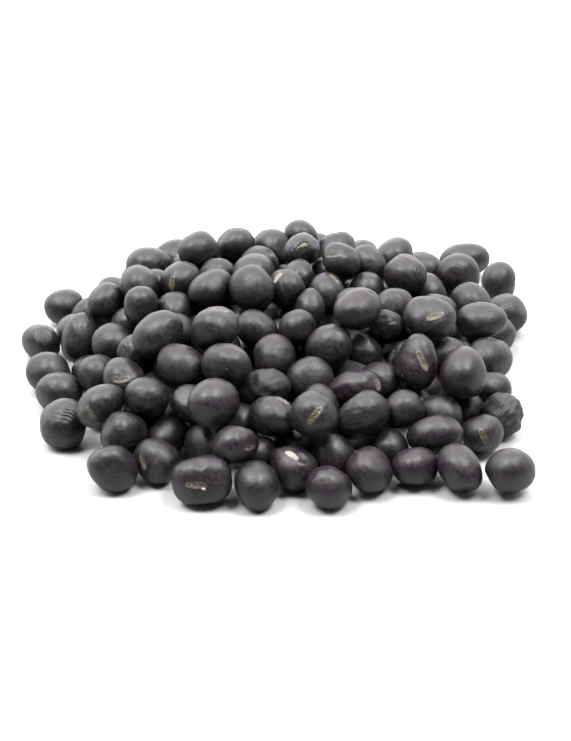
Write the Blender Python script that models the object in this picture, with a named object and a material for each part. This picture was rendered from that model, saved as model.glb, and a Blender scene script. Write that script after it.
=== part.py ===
"""A loose heap of dried black soybeans, as it lies on a flat surface.

The heap is one solid: a low core that follows the beans, with every bean that shows fused to it at its true
size. Beans that stand out keep the place that they have when the heap is seen from its front, the others
fill in by a seeded rule, and all of them then drop until the floor or their neighbours carry them.

Lengths are in millimetres until a mesh is made. X runs across the heap, Y to its back and Z up.
"""

import random
from math import atan2, cos, hypot, pi, sin, sqrt

import bmesh
import bpy
from mathutils import Matrix, Vector

METRES = 0.001

# One bean: its mean size, and how length, width and thickness go from that
BEAN = 8.1
PLAIN_FORM = (1.07, 1.0, 0.93)
LONG_FORM = (1.17, 0.98, 0.88)
FORM_SPREAD = 0.03

# The mound that the middles of the outermost beans lie on
HALF_WIDTH = 45.0
HALF_DEPTH = 44.0
MOUND_LIFT = 17.5
MIDDLE_BACK = 4.0
SQUARENESS = 0.7

# Where the heap is seen from: 30 degrees above the floor, in front
EYE_AWAY = 420.0
EYE_RISE = 0.5
EYE_RUN = sqrt(1 - EYE_RISE * EYE_RISE)
EYE = (0.0, -EYE_AWAY * EYE_RUN, EYE_AWAY * EYE_RISE)
SIGHT_START = 336.0
SIGHT_END = 630.0
SIGHT_STEP = 0.1

# Beans that stand out: how far across and up the heap's front view each is, its size, and the way it lies
FRONT_ROW = (
    (-33.5, -16.5, 8.5),
    (-25.0, -15.5, 8.0),
    (-16.0, -19.0, 9.2, "across"),
    (-5.5, -20.0, 8.3),
    (1.5, -16.0, 8.2),
    (8.0, -19.5, 8.0),
    (16.0, -17.5, 8.5),
    (25.0, -16.5, 8.0),
    (34.0, -17.0, 8.9),
    (43.5, -17.5, 8.9),
)
LEFT_SIDE = (
    (-42.5, -8.5, 8.9),
    (-43.0, -2.0, 8.3),
    (-46.0, 1.5, 8.1),
    (-46.5, 8.0, 7.6),
    (-39.5, 9.0, 8.4, "upright"),
    (-42.0, 14.5, 7.8),
    (-34.5, 16.0, 7.6),
)
RIGHT_SIDE = (
    (38.5, -9.5, 8.1),
    (41.0, -7.0, 8.1),
    (39.5, 4.5, 8.8),
    (42.5, 12.5, 8.7),
    (37.0, 10.5, 8.4, "across"),
    (40.5, 18.0, 7.9),
)
BACK_ROW = (
    (-25.5, 22.5, 8.6),
    (-17.0, 25.5, 8.2),
    (-8.5, 27.0, 7.7),
    (2.5, 28.0, 7.5),
    (10.5, 24.0, 7.4),
    (20.0, 25.0, 7.9),
    (23.5, 20.5, 8.2),
    (34.0, 23.0, 8.8, "across"),
    (32.5, 20.0, 8.6),
)
PROUD = (
    (-15.5, 18.5, 8.4),
    (-6.0, 19.0, 8.5),
    (3.5, 25.0, 7.2),
    (-0.5, 19.0, 7.6),
    (-13.5, 11.0, 8.6),
    (-24.5, 8.5, 8.5, "slanting"),
    (12.5, 13.0, 8.5),
    (27.0, 12.0, 9.1),
    (25.0, 3.5, 8.4, "upright"),
    (34.0, 1.0, 9.4),
    (-11.5, 4.0, 8.8),
    (-14.5, -3.5, 9.1),
    (15.0, -7.0, 8.8, "slanting"),
    (5.5, -5.5, 8.3),
    (28.5, -9.0, 8.5, "across"),
    (-9.5, -12.0, 7.9),
    (-31.0, 0.5, 7.9),
    (-31.5, -9.0, 8.4),
    (-35.5, -4.5, 8.4, "slanting"),
    (-27.5, 15.0, 7.0, "upright"),
    (4.0, 15.5, 6.6, "upright"),
)
# Beans that show between those, behind or under them, and how much deeper they start
BETWEEN = (
    (-16.8, 22.5, 7.4),
    (-5.1, 23.1, 7.2),
    (-25.3, 18.4, 7.6),
    (-31.9, 13.6, 7.2),
    (-38.0, 12.6, 7.9),
    (-22.2, 14.8, 7.4),
    (-32.1, 8.3, 7.9),
    (-6.1, 9.7, 7.8),
    (-1.7, 6.2, 8.1),
    (16.2, 21.6, 7.4),
    (7.3, 18.3, 8.0),
    (2.8, 20.6, 7.2),
    (16.8, 17.7, 7.6),
    (20.3, 14.2, 7.7),
    (26.9, 17.3, 7.7),
    (34.7, 14.8, 7.4),
    (9.0, 7.8, 8.1),
    (1.8, 9.9, 7.5),
    (15.2, 7.2, 7.4),
    (20.3, 9.5, 7.2),
    (30.8, 6.4, 7.4),
    (-37.6, 2.1, 7.0),
    (-26.3, -3.7, 8.0),
    (-22.4, -8.5, 8.1),
    (-20.5, 2.7, 8.4),
    (-4.2, -1.2, 8.1, "across"),
    (-3.0, -6.6, 8.0),
    (-16.2, -12.2, 7.8),
    (5.0, 1.4, 8.2),
    (13.3, -1.4, 8.0, "across"),
    (18.9, 0.0, 7.2),
    (22.0, -6.0, 7.8),
    (29.6, -4.7, 7.8),
    (20.7, -12.2, 7.4),
    (9.4, -12.8, 7.8),
    (39.1, -0.2, 7.8),
    (-19.1, 18.1, 7.6),
    (-19.7, -2.9, 7.7),
    (-8.6, -7.0, 7.6),
    (9.4, 21.0, 7.0),
    (23.2, 6.0, 7.4),
)
BETWEEN_DEPTH = 4.0
LIES = {
    "across": (1.0, 0.1, 0.1),
    "upright": (0.1, 0.45, 0.9),
    "slanting": (0.8, 0.3, 0.5),
}

# The beans that fill in: their mean size, shells from the mound's surface down, how near two may start,
# how far a shell may run under the floor, and how much less a bean's length tips than it turns
FILLING_BEAN = 8.0
FILLING_SPREAD = 0.11
SHELL_DEPTHS = (0.0, 7.4, 13.4)
SHELL_SPACING = (6.97, 6.5, 6.5)
SHELL_TRIES = 5000
SHELL_UNDERRUN = 1.5
TIP_SHARE = 0.5
SEED = 11

# How they drop: steps, the fall in each, and how firmly a bean keeps its place across the way it moves
DROP_STEPS = 300
DROP_SHARE = 0.75
DROP_FALL = 0.12
SEEN_PULL = 0.1
FILL_PULL = 0.03
NEIGHBOUR_STEPS = 8
NEIGHBOUR_REACH = 11.0

# The skyline of the heap in its front view: filling beans that come to rest outside it are taken away
SKYLINE_FOOT = 4.0
SKYLINE_RISE = 22.5
SKYLINE_HALF_WIDTH = 45.0

# The solid: bean meshes, the core under them and the floor cut
BEAN_SIDES = 8
BEAN_RINGS = 4
BEAN_SWELL = 1.05
CORE_SPOKES = 32
CORE_RINGS = 9
CORE_SINK = 1.9
CORE_FALL = 0.9
CORE_INSET = 1.5
SPOKE_HALF_WIDTH = 5.0
LOWEST_CORE = 1.6
CUT_DEPTH = 6.0
CUT_SPAN = 140.0

# Whether a bean shows: ways out of the heap, straight up and slanting, and the room that one needs
SLANTS = 8
SLANT_RISE = 0.6
WAY_OUT_RADIUS = 5.5
NEXT_BEAN = 0.1

SKIN_COLOUR = (0.035, 0.033, 0.036, 1.0)
SKIN_ROUGHNESS = 0.45


def dot(a, b):
    return a[0] * b[0] + a[1] * b[1] + a[2] * b[2]


def unit(a):
    length = sqrt(dot(a, a))
    return [a[0] / length, a[1] / length, a[2] / length]


def cross(a, b):
    return [
        a[1] * b[2] - a[2] * b[1],
        a[2] * b[0] - a[0] * b[2],
        a[0] * b[1] - a[1] * b[0],
    ]


def mound_height(x, y):
    """Height of the middles of the outermost beans at a place on the floor."""
    s = (x / HALF_WIDTH) ** 2
    t = ((y - MIDDLE_BACK) / HALF_DEPTH) ** 2
    out = (1 - SQUARENESS) * (s + t) + SQUARENESS * sqrt(s * s + t * t)
    if out >= 1:
        return BEAN / 2
    return BEAN / 2 + MOUND_LIFT * 0.5 * ((1 - out) + (1 - out * sqrt(out)))


class Bean:
    """An ellipsoid with a middle, three half sizes and three axes: along it, across it and through it."""

    def __init__(self, draws, place, size, form=PLAIN_FORM, lie=None, sight=None):
        self.place = list(place)
        self.home = tuple(place)
        self.sight = sight
        self.half = [size / 2 * share * (1 + FORM_SPREAD * (2 * draws.random() - 1)) for share in form]
        loose = [draws.random() - 0.5, draws.random() - 0.5, TIP_SHARE * (draws.random() - 0.5)]
        along = unit(lie or loose)
        through = unit(cross(along, [draws.random() - 0.5, draws.random() - 0.5, draws.random() - 0.5]))
        self.axes = [along, cross(through, along), through]

    def radius(self, way):
        """How far its skin is from its middle in one direction."""
        shares = [dot(way, axis) / half for axis, half in zip(self.axes, self.half)]
        return 1 / sqrt(dot(shares, shares))

    def reach(self, axis):
        """How far it reaches along X, Y or Z, numbered from 0."""
        spans = [way[axis] * half for way, half in zip(self.axes, self.half)]
        return sqrt(dot(spans, spans))

    def matrix(self, swell=1.0):
        """Takes a unit ball to the bean, in metres."""
        columns = [[x * half * swell * METRES for x in way] for way, half in zip(self.axes, self.half)]
        turn = Matrix(columns).transposed()
        return Matrix.Translation(Vector(self.place) * METRES) @ turn.to_4x4()


def standing_out(draws):
    """The beans of the rows above, each on the mound where its line of sight meets it."""
    beans = []
    rows = [(row, 0.0) for row in FRONT_ROW + LEFT_SIDE + RIGHT_SIDE + BACK_ROW + PROUD]
    rows += [(row, BETWEEN_DEPTH) for row in BETWEEN]
    for (across, up, size, *lie), depth in rows:
        sight = unit([across, -EYE[1] + up * EYE_RISE, -EYE[2] + up * EYE_RUN])
        away = SIGHT_START
        place = [EYE[k] + away * sight[k] for k in range(3)]
        while away < SIGHT_END and place[2] > max(BEAN / 2, mound_height(place[0], place[1]) - depth):
            away += SIGHT_STEP
            place = [EYE[k] + away * sight[k] for k in range(3)]
        form = LONG_FORM if lie else PLAIN_FORM
        beans.append(Bean(draws, place, size, form, LIES[lie[0]] if lie else None, sight=sight))
    return beans


def fill_in(draws, beans):
    """Adds beans at random, shell by shell, wherever there is room for one more."""
    for depth, spacing in zip(SHELL_DEPTHS, SHELL_SPACING):
        for _ in range(SHELL_TRIES):
            x = (2 * draws.random() - 1) * HALF_WIDTH
            y = (2 * draws.random() - 1) * HALF_DEPTH + MIDDLE_BACK
            surface = mound_height(x, y)
            if surface <= BEAN / 2 or surface - depth < BEAN / 2 - SHELL_UNDERRUN:
                continue
            place = (x, y, max(surface - depth, BEAN / 2))
            apart = [[a - b for a, b in zip(place, bean.place)] for bean in beans]
            if min(dot(gap, gap) for gap in apart) > spacing * spacing:
                size = FILLING_BEAN * (1 + FILLING_SPREAD * (draws.random() + draws.random() - 1))
                beans.append(Bean(draws, place, size))


def neighbours(beans):
    """Pairs of beans that are near enough to touch soon."""
    pairs = []
    for i, bean in enumerate(beans):
        for other in beans[i + 1 :]:
            apart = [a - b for a, b in zip(bean.place, other.place)]
            if dot(apart, apart) < NEIGHBOUR_REACH**2:
                pairs.append((bean, other))
    return pairs


def push_apart(bean, other):
    """Moves two beans that overlap half the overlap each."""
    apart = [b - a for a, b in zip(bean.place, other.place)]
    far = sqrt(dot(apart, apart))
    if far >= max(bean.half) + max(other.half):
        return
    way = [x / far for x in apart]
    overlap = bean.radius(way) + other.radius(way) - far
    if overlap > 0:
        for k in range(3):
            bean.place[k] -= way[k] * overlap / 2
            other.place[k] += way[k] * overlap / 2


def hold(bean):
    """Draws a bean back towards its line of sight, or a filling one towards its home."""
    if bean.sight:
        offset = [a - b for a, b in zip(bean.place, EYE)]
        along = dot(offset, bean.sight)
        for k in range(3):
            bean.place[k] += SEEN_PULL * (EYE[k] + along * bean.sight[k] - bean.place[k])
    else:
        for k in range(2):
            bean.place[k] += FILL_PULL * (bean.home[k] - bean.place[k])


def drop(beans):
    """Lets all beans fall a little at a time, and settles the overlaps at each step."""
    for step in range(DROP_STEPS):
        falling = step < DROP_SHARE * DROP_STEPS
        if step % NEIGHBOUR_STEPS == 0:
            pairs = neighbours(beans)
        for bean in beans:
            bean.place[2] -= DROP_FALL if falling else 0.0
        for bean, other in pairs:
            push_apart(bean, other)
        for bean in beans:
            bean.place[2] = max(bean.place[2], bean.reach(2))
            if falling:
                hold(bean)


def on_mound(bean):
    """Whether the bean lies over the mound and not beside it."""
    return mound_height(bean.place[0], bean.place[1]) > BEAN / 2


def inside_skyline(bean):
    """Whether the bean's middle is seen under the skyline."""
    offset = [a - b for a, b in zip(bean.place, EYE)]
    scale = EYE_AWAY / dot(offset, (0.0, EYE_RUN, -EYE_RISE))
    across = scale * offset[0] / SKYLINE_HALF_WIDTH
    up = scale * dot(offset, (0.0, EYE_RISE, EYE_RUN))
    return abs(across) < 1 and up < SKYLINE_FOOT + SKYLINE_RISE * sqrt(1 - across * across)


def centre(beans):
    """Moves the heap so that the middle of its box is over the origin."""
    for k in range(2):
        low = min(bean.place[k] - bean.reach(k) for bean in beans)
        high = max(bean.place[k] + bean.reach(k) for bean in beans)
        for bean in beans:
            bean.place[k] -= (low + high) / 2


def pour():
    """All the beans of the heap, at rest."""
    draws = random.Random(SEED)
    beans = standing_out(draws)
    fill_in(draws, beans)
    drop(beans)
    beans = [bean for bean in beans if bean.sight or (on_mound(bean) and inside_skyline(bean))]
    centre(beans)
    return beans


def shows(bean, beans):
    """Whether a straight way up or slanting up from the bean passes all the others."""
    turns = [2 * pi * number / SLANTS for number in range(SLANTS)]
    for way in [(0.0, 0.0, 1.0), *(unit((cos(turn), sin(turn), SLANT_RISE)) for turn in turns)]:
        for other in beans:
            apart = [a - b for a, b in zip(other.place, bean.place)]
            along = dot(apart, way)
            if along > NEXT_BEAN and dot(apart, apart) - along * along < WAY_OUT_RADIUS**2:
                break
        else:
            return True
    return False


def core_height(beans, x, y):
    """Height of the core at a place: a little under the middles of the beans on top there."""
    tops = [
        bean.place[2] - CORE_SINK - CORE_FALL * hypot(x - bean.place[0], y - bean.place[1]) ** 2 / BEAN
        for bean in beans
    ]
    return max(LOWEST_CORE, *tops)


def core_reach(beans, turn):
    """How far out the core goes in one direction: into the outermost bean there."""
    outward = (cos(turn), sin(turn))
    reaches = []
    for bean in beans:
        beside = abs(bean.place[1] * outward[0] - bean.place[0] * outward[1])
        if beside < SPOKE_HALF_WIDTH:
            reaches.append(bean.place[0] * outward[0] + bean.place[1] * outward[1])
    return max(reaches) - CORE_INSET


def mesh_object(name, shape, material):
    mesh = bpy.data.meshes.new(name)
    shape.to_mesh(mesh)
    shape.free()
    mesh.materials.append(material)
    return bpy.data.objects.new(name, mesh)


def make_core(name, beans, material):
    """A ball with its upper half draped over the beans and its lower half pressed flat under the floor."""
    shape = bmesh.new()
    bmesh.ops.create_uvsphere(shape, u_segments=CORE_SPOKES, v_segments=2 * CORE_RINGS, radius=1.0)
    under_middle = -0.5 * sin(pi / (2 * CORE_RINGS))
    reaches = {}
    for vertex in shape.verts:
        turn = atan2(vertex.co.y, vertex.co.x)
        spoke = round(turn * CORE_SPOKES / (2 * pi)) % CORE_SPOKES
        reach = reaches.setdefault(spoke, core_reach(beans, turn))
        from_top = atan2(hypot(vertex.co.x, vertex.co.y), abs(vertex.co.z)) / (pi / 2)
        x = cos(turn) * reach * from_top
        y = sin(turn) * reach * from_top
        z = core_height(beans, x, y) if vertex.co.z > under_middle else -CUT_DEPTH / 2
        vertex.co = Vector((x, y, z)) * METRES
    flat = [face for face in shape.faces if all(v.co.z < 0 for v in face.verts)]
    bmesh.ops.dissolve_faces(shape, faces=flat, use_verts=True)
    return mesh_object(name, shape, material)


def make_bean(name, bean, material):
    shape = bmesh.new()
    bmesh.ops.create_uvsphere(
        shape, u_segments=BEAN_SIDES, v_segments=BEAN_RINGS, radius=1.0, matrix=bean.matrix(BEAN_SWELL)
    )
    return mesh_object(name, shape, material)


def make_floor_block():
    """What is cut away under the heap, so that it rests on flat spots."""
    shape = bmesh.new()
    size = Vector((CUT_SPAN, CUT_SPAN, CUT_DEPTH)) * METRES
    place = Matrix.Translation((0, 0, -CUT_DEPTH / 2 * METRES))
    bmesh.ops.create_cube(shape, size=1.0, matrix=place @ Matrix.Diagonal((*size, 1.0)))
    mesh = bpy.data.meshes.new("floor_block")
    shape.to_mesh(mesh)
    shape.free()
    return bpy.data.objects.new("floor_block", mesh)


def skin_material():
    material = bpy.data.materials.new("black_bean_skin")
    material.use_nodes = True
    shader = material.node_tree.nodes["Principled BSDF"]
    shader.inputs["Base Color"].default_value = SKIN_COLOUR
    shader.inputs["Roughness"].default_value = SKIN_ROUGHNESS
    shader.inputs["Metallic"].default_value = 0.0
    material.diffuse_color = SKIN_COLOUR
    return material


def apply_modifiers(obj):
    """Puts the evaluated mesh in place of the object's own, with its modifiers gone."""
    graph = bpy.context.evaluated_depsgraph_get()
    mesh = bpy.data.meshes.new_from_object(obj.evaluated_get(graph))
    obj.modifiers.clear()
    obj.data = mesh


def keep_largest_island(obj):
    """Drops loose scraps, and the inner skins of hollows that fusing has sealed."""
    shape = bmesh.new()
    shape.from_mesh(obj.data)
    left = set(shape.verts)
    islands = []
    while left:
        island, edge = set(), [left.pop()]
        while edge:
            vertex = edge.pop()
            island.add(vertex)
            for link in vertex.link_edges:
                other = link.other_vert(vertex)
                if other in left:
                    left.remove(other)
                    edge.append(other)
        islands.append(island)
    islands.sort(key=len)
    bmesh.ops.delete(shape, geom=[v for island in islands[:-1] for v in island], context="VERTS")
    shape.to_mesh(obj.data)
    shape.free()


def fuse(core, collection, floor_block):
    """Joins the beans to the core, and then cuts everything off level with the floor."""
    union = core.modifiers.new("fuse_beans", "BOOLEAN")
    union.operation = "UNION"
    union.operand_type = "COLLECTION"
    union.collection = collection
    union.solver = "MANIFOLD"
    apply_modifiers(core)
    for obj in list(collection.objects):
        bpy.data.objects.remove(obj)
    cut = core.modifiers.new("cut_at_floor", "BOOLEAN")
    cut.operation = "DIFFERENCE"
    cut.object = floor_block
    cut.solver = "MANIFOLD"
    apply_modifiers(core)
    bpy.data.objects.remove(floor_block)
    keep_largest_island(core)


def build():
    for obj in list(bpy.data.objects):
        bpy.data.objects.remove(obj)
    heap = bpy.data.collections.new("black_bean_heap")
    fused = bpy.data.collections.new("fused_beans")
    cutters = bpy.data.collections.new("cutters")
    for collection in (heap, fused, cutters):
        bpy.context.scene.collection.children.link(collection)

    beans = pour()
    material = skin_material()
    core = make_core("beans", beans, material)
    heap.objects.link(core)
    for number, bean in enumerate(beans):
        if shows(bean, beans):
            fused.objects.link(make_bean(f"bean_{number}", bean, material))
    floor_block = make_floor_block()
    cutters.objects.link(floor_block)
    fuse(core, fused, floor_block)
    for collection in (fused, cutters):
        bpy.data.collections.remove(collection)


build()
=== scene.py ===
"""A loose heap of dried black soybeans on a plain pale floor.

The beans are poured by the same rule as the heap's solid model, so each lies where the solid has it. Every
bean then gets a skin of its own: a taper, soft dents, the scar where it sat in its pod, and creases where it
dried unevenly. Scars, creases and dents that the heap shows to its front are placed by where they are seen,
and the bean that is in front there takes them.

Lengths are in millimetres until a mesh is made. X runs across the heap, Y to its back and Z up.
"""

import random
from math import cos, hypot, pi, radians, sin, sqrt

import bpy
import numpy as np
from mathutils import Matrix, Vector


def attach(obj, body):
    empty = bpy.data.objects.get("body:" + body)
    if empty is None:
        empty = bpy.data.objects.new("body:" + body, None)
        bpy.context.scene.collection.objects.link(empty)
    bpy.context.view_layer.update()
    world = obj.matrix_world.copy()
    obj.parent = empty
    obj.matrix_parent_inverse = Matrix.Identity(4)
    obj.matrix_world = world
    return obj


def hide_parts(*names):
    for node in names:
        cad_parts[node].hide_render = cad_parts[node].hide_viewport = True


METRES = 0.001

# One bean: its mean size, and how length, width and thickness go from that
BEAN = 8.1
PLAIN_FORM = (1.07, 1.0, 0.93)
LONG_FORM = (1.17, 0.98, 0.88)
FORM_SPREAD = 0.03

# The mound that the middles of the outermost beans lie on
HALF_WIDTH = 45.0
HALF_DEPTH = 44.0
MOUND_LIFT = 17.5
MIDDLE_BACK = 4.0
SQUARENESS = 0.7

# Where the heap is seen from: 30 degrees above the floor, in front
EYE_AWAY = 420.0
EYE_RISE = 0.5
EYE_RUN = sqrt(1 - EYE_RISE * EYE_RISE)
EYE = (0.0, -EYE_AWAY * EYE_RUN, EYE_AWAY * EYE_RISE)
SIGHT_START = 336.0
SIGHT_END = 630.0
SIGHT_STEP = 0.1

# Beans that stand out: how far across and up the heap's front view each is, its size, and the way it lies
FRONT_ROW = (
    (-33.5, -16.5, 8.5),
    (-25.0, -15.5, 8.0),
    (-16.0, -19.0, 9.2, "across"),
    (-5.5, -20.0, 8.3),
    (1.5, -16.0, 8.2),
    (8.0, -19.5, 8.0),
    (16.0, -17.5, 8.5),
    (25.0, -16.5, 8.0),
    (34.0, -17.0, 8.9),
    (43.5, -17.5, 8.9),
)
LEFT_SIDE = (
    (-42.5, -8.5, 8.9),
    (-43.0, -2.0, 8.3),
    (-46.0, 1.5, 8.1),
    (-46.5, 8.0, 7.6),
    (-39.5, 9.0, 8.4, "upright"),
    (-42.0, 14.5, 7.8),
    (-34.5, 16.0, 7.6),
)
RIGHT_SIDE = (
    (38.5, -9.5, 8.1),
    (41.0, -7.0, 8.1),
    (39.5, 4.5, 8.8),
    (42.5, 12.5, 8.7),
    (37.0, 10.5, 8.4, "across"),
    (40.5, 18.0, 7.9),
)
BACK_ROW = (
    (-25.5, 22.5, 8.6),
    (-17.0, 25.5, 8.2),
    (-8.5, 27.0, 7.7),
    (2.5, 28.0, 7.5),
    (10.5, 24.0, 7.4),
    (20.0, 25.0, 7.9),
    (23.5, 20.5, 8.2),
    (34.0, 23.0, 8.8, "across"),
    (32.5, 20.0, 8.6),
)
PROUD = (
    (-15.5, 18.5, 8.4),
    (-6.0, 19.0, 8.5),
    (3.5, 25.0, 7.2),
    (-0.5, 19.0, 7.6),
    (-13.5, 11.0, 8.6),
    (-24.5, 8.5, 8.5, "slanting"),
    (12.5, 13.0, 8.5),
    (27.0, 12.0, 9.1),
    (25.0, 3.5, 8.4, "upright"),
    (34.0, 1.0, 9.4),
    (-11.5, 4.0, 8.8),
    (-14.5, -3.5, 9.1),
    (15.0, -7.0, 8.8, "slanting"),
    (5.5, -5.5, 8.3),
    (28.5, -9.0, 8.5, "across"),
    (-9.5, -12.0, 7.9),
    (-31.0, 0.5, 7.9),
    (-31.5, -9.0, 8.4),
    (-35.5, -4.5, 8.4, "slanting"),
    (-27.5, 15.0, 7.0, "upright"),
    (4.0, 15.5, 6.6, "upright"),
)
# Beans that show between those, behind or under them, and how much deeper they start
BETWEEN = (
    (-16.8, 22.5, 7.4),
    (-5.1, 23.1, 7.2),
    (-25.3, 18.4, 7.6),
    (-31.9, 13.6, 7.2),
    (-38.0, 12.6, 7.9),
    (-22.2, 14.8, 7.4),
    (-32.1, 8.3, 7.9),
    (-6.1, 9.7, 7.8),
    (-1.7, 6.2, 8.1),
    (16.2, 21.6, 7.4),
    (7.3, 18.3, 8.0),
    (2.8, 20.6, 7.2),
    (16.8, 17.7, 7.6),
    (20.3, 14.2, 7.7),
    (26.9, 17.3, 7.7),
    (34.7, 14.8, 7.4),
    (9.0, 7.8, 8.1),
    (1.8, 9.9, 7.5),
    (15.2, 7.2, 7.4),
    (20.3, 9.5, 7.2),
    (30.8, 6.4, 7.4),
    (-37.6, 2.1, 7.0),
    (-26.3, -3.7, 8.0),
    (-22.4, -8.5, 8.1),
    (-20.5, 2.7, 8.4),
    (-4.2, -1.2, 8.1, "across"),
    (-3.0, -6.6, 8.0),
    (-16.2, -12.2, 7.8),
    (5.0, 1.4, 8.2),
    (13.3, -1.4, 8.0, "across"),
    (18.9, 0.0, 7.2),
    (22.0, -6.0, 7.8),
    (29.6, -4.7, 7.8),
    (20.7, -12.2, 7.4),
    (9.4, -12.8, 7.8),
    (39.1, -0.2, 7.8),
    (-19.1, 18.1, 7.6),
    (-19.7, -2.9, 7.7),
    (-8.6, -7.0, 7.6),
    (9.4, 21.0, 7.0),
    (23.2, 6.0, 7.4),
)
BETWEEN_DEPTH = 4.0
LIES = {
    "across": (1.0, 0.1, 0.1),
    "upright": (0.1, 0.45, 0.9),
    "slanting": (0.8, 0.3, 0.5),
}

# The beans that fill in: their mean size, shells from the mound's surface down, how near two may start,
# how far a shell may run under the floor, and how much less a bean's length tips than it turns
FILLING_BEAN = 8.0
FILLING_SPREAD = 0.11
SHELL_DEPTHS = (0.0, 7.4, 13.4)
SHELL_SPACING = (6.97, 6.5, 6.5)
SHELL_TRIES = 5000
SHELL_UNDERRUN = 1.5
TIP_SHARE = 0.5
SEED = 11

# How they drop: steps, the share of them that beans fall in, the fall in each, how firmly a bean is held to
# its line of sight or its home, and how often and how far out its neighbours are looked for
DROP_STEPS = 300
DROP_SHARE = 0.75
DROP_FALL = 0.12
SEEN_PULL = 0.1
FILL_PULL = 0.03
NEIGHBOUR_STEPS = 8
NEIGHBOUR_REACH = 11.0

# The skyline of the heap in its front view: filling beans that come to rest outside it are taken away
SKYLINE_FOOT = 4.0
SKYLINE_RISE = 22.5
SKYLINE_HALF_WIDTH = 45.0

# Scars that show to the front: across, up, tilt in degrees, length, and how pale each is from 0 to 1
SCARS = (
    (-22.1, 19.0, 80, 2.8, 0.5),
    (-1.7, 20.3, 60, 2.4, 0.9),
    (-12.5, 14.2, 10, 3.0, 0.6),
    (8.9, 24.5, -5, 3.0, 0.3),
    (11.7, 19.6, -70, 2.8, 0.4),
    (9.7, 20.1, -60, 2.6, 0.6),
    (29.2, 12.6, 20, 3.4, 0.7),
    (14.2, 9.1, 50, 3.2, 0.6),
    (20.3, 4.3, 70, 3.3, 0.3),
    (26.6, 4.1, -65, 3.8, 0.5),
    (-32.0, 0.2, 5, 3.4, 0.65),
    (-37.9, -6.3, -60, 2.6, 0.2),
    (-6.5, -13.0, 0, 2.8, 0.4),
    (-27.9, -15.7, -65, 3.0, 0.5),
    (-17.4, -20.4, -3, 3.6, 0.1),
    (1.2, -14.2, -45, 2.8, 1.0),
    (5.7, -6.7, 50, 3.6, 0.35),
    (18.0, -0.8, -80, 2.2, 0.5),
    (38.7, -11.3, -65, 4.0, 0.25),
    (-0.4, -3.6, -45, 2.6, 0.6),
    (9.0, -0.8, 55, 3.0, 0.3),
)
# Creases: across, up, tilt of their run, how many, their spacing, length and depth
CREASES = (
    (-41.8, -5.4, -35, 5, 0.75, 3.8, 0.2),
    (-47.8, 7.4, 88, 3, 0.9, 6.0, 0.05),
    (-40.2, 8.4, 88, 6, 1.1, 9.0, 0.045),
    (25.7, 20.6, 70, 4, 0.7, 2.6, 0.12),
    (19.4, 10.9, 20, 1, 1.0, 3.6, 0.16),
    (21.8, 9.6, -55, 1, 1.0, 3.0, 0.12),
    (40.6, -6.0, -60, 9, 0.6, 7.0, 0.035),
    (38.2, 6.6, 40, 2, 0.9, 3.4, 0.1),
    (15.0, -8.0, 18, 1, 1.0, 7.0, 0.1),
    (-30.8, 7.4, 100, 1, 1.0, 3.4, 0.12),
    (-24.0, 22.3, 70, 1, 1.0, 2.4, 0.16),
    (-30.0, -12.2, -20, 1, 1.0, 2.2, 0.1),
)
# Small pits: across, up, radius and depth
PITS = (
    (-3.0, 25.0, 0.7, 0.35),
    (16.6, 17.0, 0.5, 0.3),
    (3.2, -15.0, 0.9, 0.2),
    (-16.6, -15.9, 0.9, 0.3),
)
# Beans with a form of their own: across, up, how square each is, and the way and size of a point or, below
# nought, of a flat place on it
FORMS = (
    (-33.5, -16.5, 2.4, 95, -0.6),
    (20.3, 9.9, 2.0, 125, 0.7),
    (20.3, 9.9, 2.0, 50, -0.7),
    (20.3, 9.9, 2.0, -60, -0.6),
    (20.3, 9.9, 2.0, 200, -0.5),
    (-46.0, 8.0, 2.3, 0, 0.0),
    (38.5, 5.0, 2.0, -100, 0.4),
    (27.0, 12.0, 2.2, -20, -0.4),
    (-13.5, 11.0, 2.3, 100, -0.4),
    (-16.0, -19.5, 2.7, 0, 0.0),
    (-42.5, -9.5, 2.0, -55, 0.85),
    (-5.5, -20.0, 2.0, -88, 0.7),
    (8.0, -19.5, 2.0, -85, 0.6),
    (16.0, -17.5, 2.4, 0, 0.0),
    (25.0, -17.0, 2.4, 0, 0.0),
)
# Beans with a dull, finely puckered skin, and where the split bean opens: across and up
DULL = ((-4.2, -1.2), (20.3, 9.9), (41.1, -6.8))
SPLIT = (2.9, 26.3)
SPLIT_TILT = 28
# Pale specks: across, up and size
SPECKS = (
    (-8.6, -21.7, 0.8),
    (22.8, 1.0, 1.0),
    (32.3, -3.3, 0.8),
    (-15.9, -21.0, 2.6),
    (27.5, 2.0, 0.7),
    (-11.5, 2.3, 0.6),
    (24.2, 1.5, 0.6),
)

# Other scars: how many lie underneath, and how far down those face
SCARS_BELOW = 0.62
BELOW_PULL = 1.3

# The form of a bean's skin: how square it is, how it tapers and stretches, its lumps and flat places, how
# sharp a point on it is, its ripples, the lip and edge of a pit, and how near the floor skin may come
SQUARE_MEAN = 2.1
SQUARE_SPREAD = 0.2
TAPER_MOST = 0.13
STRETCH_MOST = 0.08
LUMPS = 4
LUMP_MOST = 0.3
LUMP_WIDTH = 0.35
FLATS = 3
FLAT_NEAR = 0.87
FLAT_FAR = 1.03
FLAT_SHARE = 0.8
FLAT_EDGE = 0.3
FLAT_TAIL = 4
POINT_SHARPNESS = 5
RIPPLES = 7
RIPPLE_HEIGHT = 0.011
DULL_RIPPLE = 2.6
RIPPLE_LONGEST = 3.4
RIPPLE_SHORTEST = 0.9
PIT_LIP = 0.3
PIT_LIP_PLACE = 1.5
PIT_LIP_SHARPNESS = 2
PAST_PIT = 9
LOWEST_SKIN = 0.02

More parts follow.
